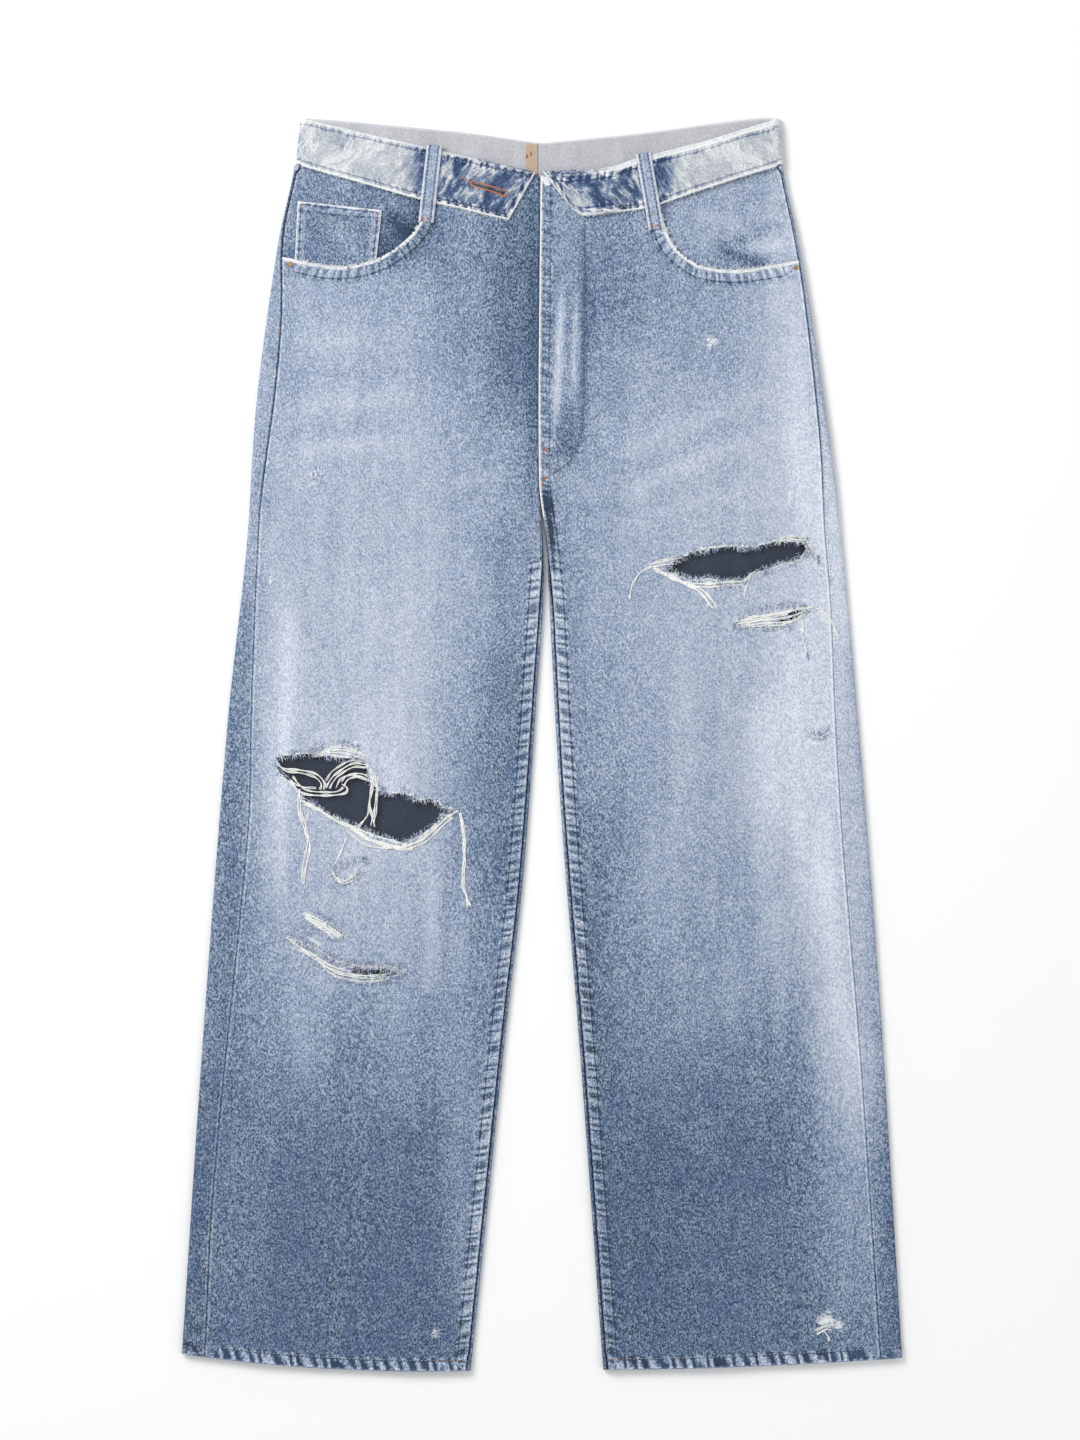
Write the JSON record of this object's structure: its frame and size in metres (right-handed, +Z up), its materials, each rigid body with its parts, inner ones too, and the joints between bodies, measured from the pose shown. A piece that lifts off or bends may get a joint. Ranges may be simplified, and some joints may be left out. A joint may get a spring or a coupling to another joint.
{
  "type": "ripped wide-leg jeans, laid flat",
  "caption": "Wide-leg denim jeans laid flat, front up, with a turned-down waistband, ripped thigh and knee, frayed edges and faded legs.",
  "frame": {"origin": "middle of the garment's length and width, on the surface that it lies on", "axes": "+Y towards the waist, +Z up out of the front, +X to the right of someone who looks down at the front with the waist at the top"},
  "size_m": [0.612, 1.0639, 0.0141],
  "materials": {
    "denim": "washed blue denim, faded at the thighs and knees",
    "band_denim": "pale, mottled denim of the waistband",
    "zip_tape": "dark woven tape with its closed teeth",
    "hardware": "dull brass"
  },
  "bodies": {
    "root": {"front_left": "denim", "front_right": "denim", "back_left": "denim", "back_right": "denim", "yoke_left": "denim", "yoke_right": "denim", "waistband_back": "band_denim", "waistband_left": "band_denim", "waistband_right": "band_denim", "belt_loop_front_left": "denim", "belt_loop_front_right": "denim", "belt_loop_back_left": "denim", "belt_loop_back_centre": "denim", "belt_loop_back_right": "denim", "pocket_facing_left": "denim", "pocket_facing_right": "denim", "coin_pocket": "denim", "back_pocket_left": "denim", "back_pocket_right": "denim", "zip": "zip_tape", "zip_slider": "hardware", "waist_button": "hardware", "rivet_left": "hardware", "rivet_right": "hardware"}
  },
  "joints": []
}
